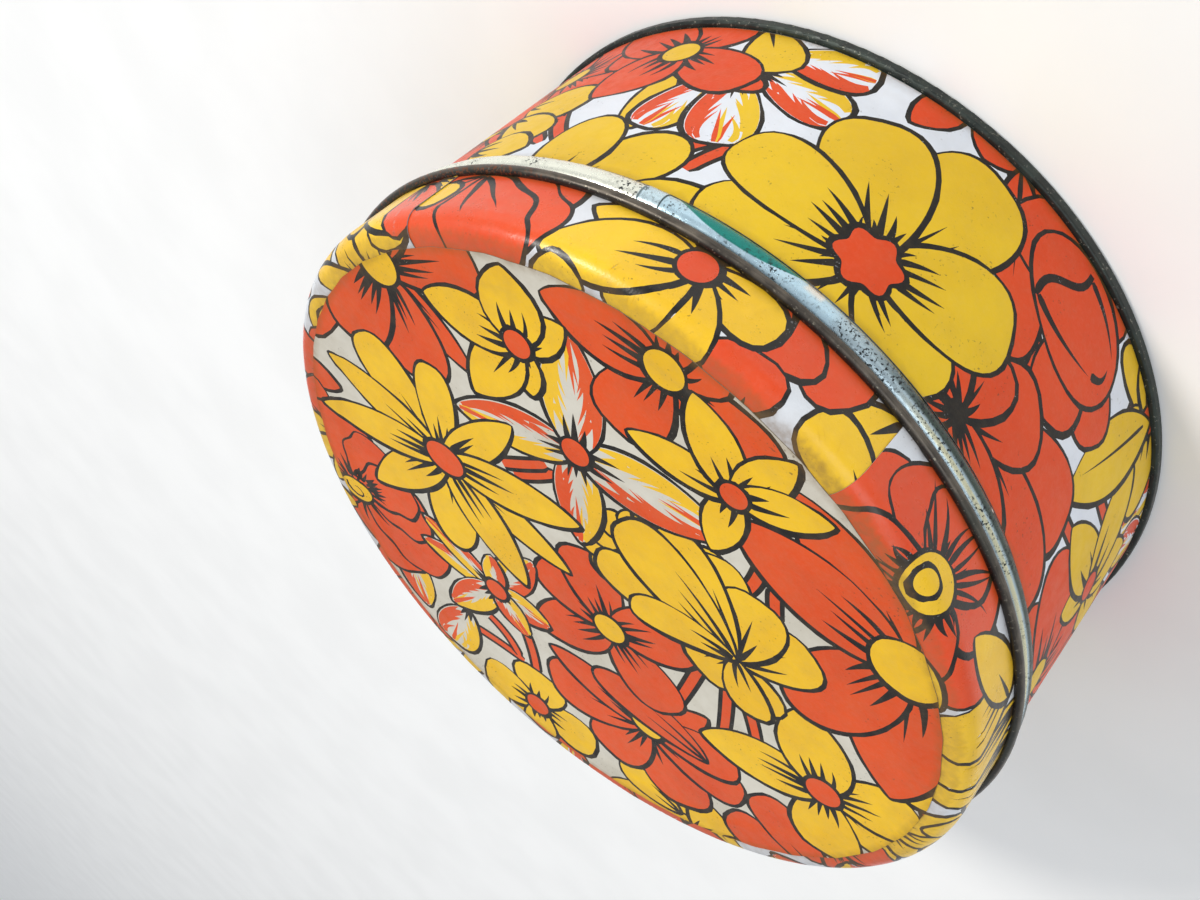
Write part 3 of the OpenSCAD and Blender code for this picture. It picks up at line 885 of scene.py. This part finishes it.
def vinyl_material(name, whites, yellows, oranges, grime, rough_from, shine):
    """Printed vinyl: four inks on a soft sheet with a fine grain, soiled at its cut edges, with painted shade
    in the groove under the lid's curl and a painted shadow beside the disc's edge.
    """
    look = Look(name, Specular_IOR_Level=shine, Coat_Weight=0.04, Coat_Roughness=0.2)
    orange_in, yellow_in, black_in = look.node("SeparateColor", look.attribute("ink", "Color")).outputs
    broad = look.noise(28, 4, 0.6)
    uneven = look.ramp(broad, 0.35, 0.7)
    colour = look.mix(look.ramp(broad, 0.38, 0.66), *whites)
    colour = look.over(colour, look.mix(uneven, *oranges), orange_in)
    colour = look.over(colour, look.mix(uneven, *yellows), yellow_in)
    # the thin ink lets a little of the sheet's grain through
    colour = look.over(colour, "F3EDE2", look.spots(1.1, 0.42, 0.72, 3, 0.6, 0.0, 0.014))
    # the black is dry in places, with pinholes
    dry = look.times(look.spots(0.55, 0.64, 0.72, 2), look.spots(9, 0.52, 0.66))
    dense = look.times(black_in, look.ramp(dry, 0.0, 1.0, 1.0, 0.72))
    colour = look.mix(dense, colour, look.mix(broad, "0A0908", "151210"))
    # grime: freckles everywhere, a brown margin where the sheet was cut; the same soil layer also carries
    # painted shade in the groove under the lid's curl and a painted shadow beside the disc's edge
    colour = look.over(colour, "4A3A22", look.spots(0.8, 0.64, 0.72, 2), look.spots(14, 0.47, 0.66), 0.6)
    colour = look.over(colour, "8C7B5C", look.spots(5, 0.35, 0.75, 5, 0.65), grime)
    soil_and_shade = look.attribute("soil_and_shade", "Fac")
    colour = look.over(colour, "7A5A2C", soil_and_shade, look.spots(2.2, 0.25, 0.7, 4, 0.6, 0.45, 1.0), 0.62)
    # fine leathery grain
    pores = look.node("TexVoronoi", look.place)
    pores.inputs["Scale"].default_value = 1 / (PORE * MM)
    normal = look.bump(pores.outputs["Distance"], 0.03, 0.5)
    normal = look.bump(look.noise(0.42, 2), 0.04, 0.5, normal)
    normal = look.bump(look.noise(7), 0.25, 0.35, normal)
    rough = look.spots(3, 0.3, 0.75, 4, 0.6, rough_from, rough_from + 0.14)
    return look.finish(colour, look.math("ADD", rough, look.times(soil_and_shade, 0.22), True), normal)


def bare_plate(look, tints, brush, stain, rust, patch):
    """Tinplate without print: brushed one way, stained, and spotted with rust in patches. The
    brush is what noise is given, and the other three are what spots is given."""
    light, dark, brown, rusty = tints
    plate = look.mix(look.ramp(look.noise(*brush), 0.3, 0.7), light, dark)
    plate = look.over(plate, brown, look.spots(*stain))
    return look.over(plate, rusty, look.spots(*rust), look.spots(*patch))


def tin_wall_material():
    """The body's tinplate: worn blue print on the bead, bare metal on the neck and inside."""
    look = Look("worn_blue_print")
    r, turn, z = look.round_place()
    cloudy = look.noise(3.0, 5, 0.65)
    wander = look.times(look.math("SUBTRACT", look.noise(6), 0.5), 3.0)
    rough_turn = look.math("ADD", turn, wander)
    high = look.math("DIVIDE", look.math("SUBTRACT", z, WRAP_Z1), BEAD_H)
    # printed colours of the bead, by direction: silver, blue and cream
    colour = look.mix(look.band(turn, -90.0, -62.5, 1.2), look.mix(look.noise(12, 4), "9FB4BE", "B9CAD0"),
                      look.mix(cloudy, "AFCFE0", "C4DDE8"))
    colour = look.over(colour, look.mix(cloudy, "EEEEE0", "DADDD0"), look.band(turn, -62.9, 12.0, 0.25))
    # a leaf-shaped patch of teal on the lower half, with a bare sliver at its end
    mid = look.math("ABSOLUTE", look.math("DIVIDE", look.math("ADD", turn, 76.0), 9.0))
    top = look.math("SUBTRACT", 0.74, look.times(look.math("POWER", mid, 2.4), 0.6))
    patch = look.ramp(look.math("SUBTRACT", top, high), -0.01, 0.03)
    colour = look.over(colour, "1F8278", patch, look.band(turn, -84.6, -67.0, 0.2))
    colour = look.over(colour, "E4E2D8", look.band(rough_turn, -87.4, -84.7, 0.3),
                       look.ramp(high, 0.40, 0.62, 1.0, 0.0))
    lower = look.ramp(look.math("ADD", high, look.times(wander, 0.04)), 0.42, 0.5, 1.0, 0.0)
    for start, end, tint in ((-176.0, -160.0, "33857C"), (60.0, 84.0, "33857C"), (118.0, 150.0, "C9B98A")):
        colour = look.over(colour, tint, look.band(rough_turn, start, end, 0.5), lower)
    # painted reflections on the bead: a dark band of painted shade on the side towards the body, and a cream
    # painted highlight line above it
    colour = look.over(colour, "2C3A30", look.ramp(high, 0.55, 0.68, 0.96, 0.0),
                       look.band(turn, -165.0, -97.0, 7.0))
    colour = look.over(colour, "DFDAB4", look.band(high, 0.69, 0.82, 0.03),
                       look.band(turn, -160.0, -103.0, 5.0), 0.9)
    # the end of the seam in the tinplate
    seam = look.math("MAXIMUM", look.band(turn, -63.3, -63.0, 0.08), look.band(turn, -66.1, -65.9, 0.08))
    colour = look.over(colour, "3A4038", seam, 0.75)
    colour = look.over(colour, "C9DADF", look.band(turn, -65.9, -63.3, 0.1), 0.6)
    # wear: dark specks and scratches through to the plate
    rubbed = look.times(look.band(turn, -122.0, -82.0, 6.0), look.band(high, 0.42, 0.86, 0.1))
    worn_here = look.math("ADD", look.noise(9, 4, 0.6), look.times(rubbed, 0.14))
    specks = look.times(look.spots(0.6, 0.54, 0.60, 3, 0.6), look.ramp(worn_here, 0.46, 0.62))
    scratches = look.ramp(look.noise(1.2, 4, 0.7, (1, 1, 7)), 0.64, 0.70)
    worn = look.math("MAXIMUM", specks, look.times(scratches, 0.5))
    colour = look.over(colour, "23282A", worn)
    # one large chip
    chip_at = unit(-118) * (WRAP_R + 2.0) * MM
    chip_at = (chip_at[0], chip_at[1], (WRAP_Z1 + 1.3) * MM)
    chip = look.node("VectorMath", look.place, chip_at, operation="DISTANCE")
    colour = look.over(colour, "E6E6E2", look.ramp(chip.outputs["Value"], 0.7 * MM, 1.0 * MM, 1.0, 0.0))
    # bare plate on the neck and inside, brushed round the tin
    plate = bare_plate(look, ("A7A296", "C3BFB4", "A08F63", "6B4024"), (2.5, 4, 0.7, (1, 1, 9)),
                       (30, 0.45, 0.7, 4, 0.6, 0.0, 0.5), (1.6, 0.62, 0.70, 4, 0.7), (22, 0.48, 0.62))
    neck = look.ramp(z, WRAP_Z1 + BEAD_H + 0.5, WRAP_Z1 + BEAD_H + 1.6)
    within = look.ramp(r, WRAP_R - 0.5, WRAP_R - 0.35, 1.0, 0.0)
    bare = look.math("MAXIMUM", neck, look.math("MAXIMUM", within, look.facing_axis()))
    rough = look.math("ADD", look.ramp(cloudy, 0.3, 0.75, 0.2, 0.38), look.times(worn, 0.25), True)
    normal = look.bump(look.math("SUBTRACT", 1.0, worn), 0.04, 0.6)
    normal = look.bump(look.noise(5), 0.3, 0.25, normal)
    return look.finish(look.over(colour, plate, bare), rough, normal, look.ramp(bare, 0.0, 1.0, 0.55, 0.9))


def lid_metal_material():
    """The lid's shell: a dark satin curl, bare plate inside."""
    look = Look("dark_curl")
    r, turn, z = look.round_place()
    cloudy = look.noise(6, 4, 0.6)
    colour = look.mix(look.ramp(cloudy, 0.35, 0.7), "4C463F", "6E665B")
    fine_brush = look.noise(1.0, 3, 0.6, (0.25, 0.25, 4))
    colour = look.over(colour, "2B2724", look.ramp(fine_brush, 0.35, 0.7, 0.0, 0.5))
    # painted shade along the upper edge, where the curl meets the skirt's vinyl, then worn flecks, rust near
    # the left and a green cast in places
    colour = look.over(colour, "171311", look.ramp(z, CURL_Z0 + 2.0, CURL_Z0 + 2.45), 0.8)
    colour = look.over(colour, "A59E8C", look.spots(0.7, 0.62, 0.68, 3, 0.6),
                       look.ramp(z, CURL_Z0 + 1.4, CURL_Z0 + 2.3), 0.45)
    colour = look.over(colour, "7A4526", look.spots(0.8, 0.53, 0.6, 4, 0.6),
                       look.band(turn, -48.0, -8.0, 9.0))
    colour = look.over(colour, "39413A", look.spots(18, 0.5, 0.65), 0.4)
    plate = bare_plate(look, ("9F9A8E", "BEB9AD", "99875C", "6B4024"), (3.0, 4, 0.7, (1, 1, 8)),
                       (26, 0.42, 0.7, 4, 0.6, 0.0, 0.55), (1.5, 0.62, 0.70, 4, 0.7), (20, 0.48, 0.62))
    within = look.times(look.ramp(r, SKIRT_R - 0.62, SKIRT_R - 0.5, 1.0, 0.0),
                        look.ramp(z, CURL_Z0 + 1.0, CURL_Z0 + 1.8))
    normal = look.bump(look.noise(9), 0.35, 0.3, look.bump(look.noise(1.2), 0.05, 0.4))
    return look.finish(look.over(colour, plate, within), look.ramp(cloudy, 0.3, 0.75, 0.30, 0.48), normal,
                       look.ramp(within, 0.0, 1.0, 0.55, 0.9))


def base_material():
    """The base: a dark, smooth rim and a dull scuffed panel."""
    look = Look("dark_base")
    r, _, _ = look.round_place()
    cloudy = look.noise(7, 4, 0.6)
    rim = look.mix(look.ramp(cloudy, 0.35, 0.7), "232826", "37403B")
    rim = look.over(rim, "8C8C80", look.spots(0.9, 0.60, 0.66, 4, 0.7), 0.75)
    panel = bare_plate(look, ("86857C", "A5A297", "7D6B47", "5E3A22"), (2.0, 5, 0.7, (1, 6, 6)),
                       (35, 0.42, 0.72, 5, 0.65, 0.0, 0.6), (2.4, 0.58, 0.68, 5, 0.7), (25, 0.45, 0.6))
    outer = look.ramp(r, WRAP_R - 1.7, WRAP_R - 1.1)
    normal = look.bump(look.noise(16), 0.5, 0.3, look.bump(look.noise(1.4), 0.05, 0.5))
    return look.finish(look.mix(outer, panel, rim), look.ramp(cloudy, 0.3, 0.75, 0.34, 0.55), normal,
                       look.ramp(outer, 0.0, 1.0, 0.85, 0.5))


# ---------------------------------------------------------------- the camera, the floor and the light

# The photo's camera, in metres
CAMERA_AT = (0.0, -0.29434, 0.24844)
CAMERA_RIGHT = (-0.7244, -0.3212, -0.6099)
CAMERA_FORWARD = (0.0624, 0.8506, -0.5221)
LENS, SENSOR = 39.97, 36.0
FLOOR_HALF = 12.0
LIGHT_FAR = 3.0


def place_in_scene(name, data):
    thing = bpy.data.objects.new(name, data)
    bpy.context.scene.collection.objects.link(thing)
    return thing


def make_camera():
    data = bpy.data.cameras.new("camera")
    data.lens, data.sensor_width = LENS, SENSOR
    data.clip_start, data.clip_end = 0.01, 20.0
    camera = place_in_scene("camera", data)
    right, forward = Vector(CAMERA_RIGHT), Vector(CAMERA_FORWARD).normalized()
    right = (right - forward * right.dot(forward)).normalized()
    up = right.cross(forward)
    turn = Matrix((right, up, -forward)).transposed().to_4x4()
    camera.matrix_world = Matrix.Translation(CAMERA_AT) @ turn
    bpy.context.scene.camera = camera


def floor_material():
    look = Look("pale_floor", Specular_IOR_Level=0.2)
    tone = look.spots(60, 0.3, 0.7, 4)
    colour = look.mix(tone, "F4F4F3", "F8F8F7")
    return look.finish(colour, look.ramp(tone, 0.0, 1.0, 0.7, 0.8), look.bump(look.noise(2), 0.02, 0.2))


def make_floor():
    corners = [(x * FLOOR_HALF, y * FLOOR_HALF, 0) for x, y in ((-1, -1), (1, -1), (1, 1), (-1, 1))]
    mesh = bpy.data.meshes.new("floor")
    mesh.from_pydata(corners, [], [(0, 1, 2, 3)])
    mesh.materials.append(floor_material())
    floor = place_in_scene("floor", mesh)


def add_light(name, azimuth, elevation, size, power, colour):
    """A round light LIGHT_FAR metres away that shines at the middle of the tin."""
    data = bpy.data.lights.new(name, "AREA")
    data.shape, data.size, data.energy, data.color = "DISK", size, power, colour
    light = place_in_scene(name, data)
    a, e = math.radians(azimuth), math.radians(elevation)
    direction = Vector((math.cos(a) * math.cos(e), math.sin(a) * math.cos(e), math.sin(e)))
    light.location = direction * LIGHT_FAR + Vector((0, 0, 0.05))
    light.rotation_mode = "QUATERNION"
    light.rotation_quaternion = direction.to_track_quat("Z", "Y")


def make_world():
    """A soft studio: bright overhead, greyer towards the horizon."""
    world = bpy.data.worlds.new("studio")
    bpy.context.scene.world = world
    world.use_nodes = True
    nodes, links = world.node_tree.nodes, world.node_tree.links
    parts = nodes.new("ShaderNodeSeparateXYZ")
    links.new(nodes.new("ShaderNodeTexCoord").outputs["Generated"], parts.inputs[0])
    rise = nodes.new("ShaderNodeMapRange")
    rise.interpolation_type = "SMOOTHSTEP"
    links.new(parts.outputs[2], rise.inputs[0])
    for i, value in enumerate((0.05, 0.75, 0.56, 0.64), 1):
        rise.inputs[i].default_value = value
    background = nodes["Background"]
    background.inputs[0].default_value = (0.93, 0.96, 1.0, 1.0)
    links.new(rise.outputs[0], background.inputs[1])


def make_light():
    make_world()
    add_light("key", -22, 38, 0.6, 52, (1.0, 0.96, 0.90))
    add_light("fill", -125, 42, 1.9, 20, (0.92, 0.96, 1.0))


# ---------------------------------------------------------------- the whole tin

# Radii at which the disc has rings of points
RINGS = (85.2, 86.0, 86.8, 87.6, 88.8, 90.6, 92.6, 94.0)


def body_rows():
    return np.arange(WRAP_Z0 + 1.0, WRAP_Z1 - 0.5, 2.4)


def strip_rows():
    on_skirt = np.arange(1.0, SKIRT_H - 0.4, 2.2)
    round_shoulder = np.arange(SKIRT_H, SKIRT_H + SHOULDER_LEN, 0.64)
    inward = np.arange(SKIRT_H + SHOULDER_LEN + 0.7, STRIP_LEN - 0.5, 1.6)
    return np.concatenate([on_skirt, round_shoulder, inward])


def disc_points():
    """A grid on the flat middle, then rings where the disc climbs on to the strips."""
    grid = grid_points(-DISC_R, DISC_R, np.arange(-DISC_R, DISC_R, 2.8), 3.2)
    points = [grid[np.hypot(grid[:, 0], grid[:, 1]) < RINGS[0] - 0.7]]
    for radius in RINGS:
        a = np.arange(0, 2 * math.pi, 2.0 / radius)
        points.append(np.stack([np.cos(a), np.sin(a)], 1) * radius)
    return np.vstack(points)


def lapped(a):
    """How far the back strip is lifted over the ends of the front one, at directions in degrees."""
    start = 1 - step_up(a, FRONT_A1, FRONT_A1 + CLIMB_A)
    return start + step_up(a, FRONT_A0 + 360 - CLIMB_A, FRONT_A0 + 360)


def make_covering():
    # The three sheets are one white vinyl: the lid's darker, warmer whites are partly age and partly painted
    # shade, and the skirt's and body's bluish whites are painted sky light.
    lid_look = vinyl_material("lid_vinyl", ("D3CEC1", "C6C0B1"), ("F0C01C", "E6B218"),
                              ("E05014", "D44810"), 0.12, 0.34, 0.22)
    skirt_look = vinyl_material("skirt_vinyl", ("D9DDE3", "D0D4D9"), ("F3C620", "E8B81C"),
                                ("E24C1A", "D84416"), 0.07, 0.26, 0.42)
    body_look = vinyl_material("body_vinyl_look", ("DDE2EA", "D3D9E2"), ("E3BC1C", "D9B018"),
                               ("DA4712", "D0400E"), 0.07, 0.36, 0.22)

    disc = make_sheet("lid_top_print", lid_artwork(), round_border(DISC_R - 0.05, 378), disc_points(),
                      disc_surface, disc_soil, lid_look)
    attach(disc, "lid")
    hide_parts("lid_top_vinyl")

    wrap_u0 = wall(WRAP_LAP_A + 0.1 - 360, 0)[0]
    wrap_u1 = wall(WRAP_LAP_A + LAP_A, 0)[0]
    wrap = make_sheet("body_print", body_artwork(),
                      long_border(wrap_u0, wrap_u1, WRAP_Z0, WRAP_Z1, 2.0, 0.35),
                      grid_points(wrap_u0, wrap_u1, body_rows(), 2.6), wrap_surface, wrap_soil, body_look)
    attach(wrap, "tin")
    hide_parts("body_vinyl")

    front_u0, front_u1 = (skirt(a, 0)[0] for a in (FRONT_A0, FRONT_A1))
    front = make_sheet("skirt_print_front", front_artwork(),
                       long_border(front_u0, front_u1, 0, STRIP_LEN, 1.6, 0.0),
                       grid_points(front_u0, front_u1, strip_rows(), 2.0),
                       strip_surface(lambda a: np.zeros(len(a))), strip_soil_and_shade, skirt_look)
    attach(front, "lid")
    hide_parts("lid_skirt_vinyl_front")

    back_u0 = skirt(FRONT_A1 - LAP_A, 0)[0]
    back_u1 = skirt(FRONT_A0 + LAP_A + 360, 0)[0]
    back = make_sheet("skirt_print_back", back_artwork(),
                      long_border(back_u0, back_u1, 0, STRIP_LEN, 1.6, 0.0),
                      grid_points(back_u0, back_u1, strip_rows(), 2.0),
                      strip_surface(lapped), strip_soil_and_shade, skirt_look)
    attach(back, "lid")
    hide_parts("lid_skirt_vinyl_back")


def dress_metal():
    for node, material in (("body_wall", tin_wall_material()), ("lid_shell", lid_metal_material()),
                           ("base_end", base_material())):
        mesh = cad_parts[node].data
        if not mesh.materials:
            mesh.materials.append(material)
        for i in range(len(mesh.materials)):
            mesh.materials[i] = material


bpy.context.scene.view_settings.view_transform = "Standard"
make_camera()
make_floor()
make_light()
make_covering()
dress_metal()
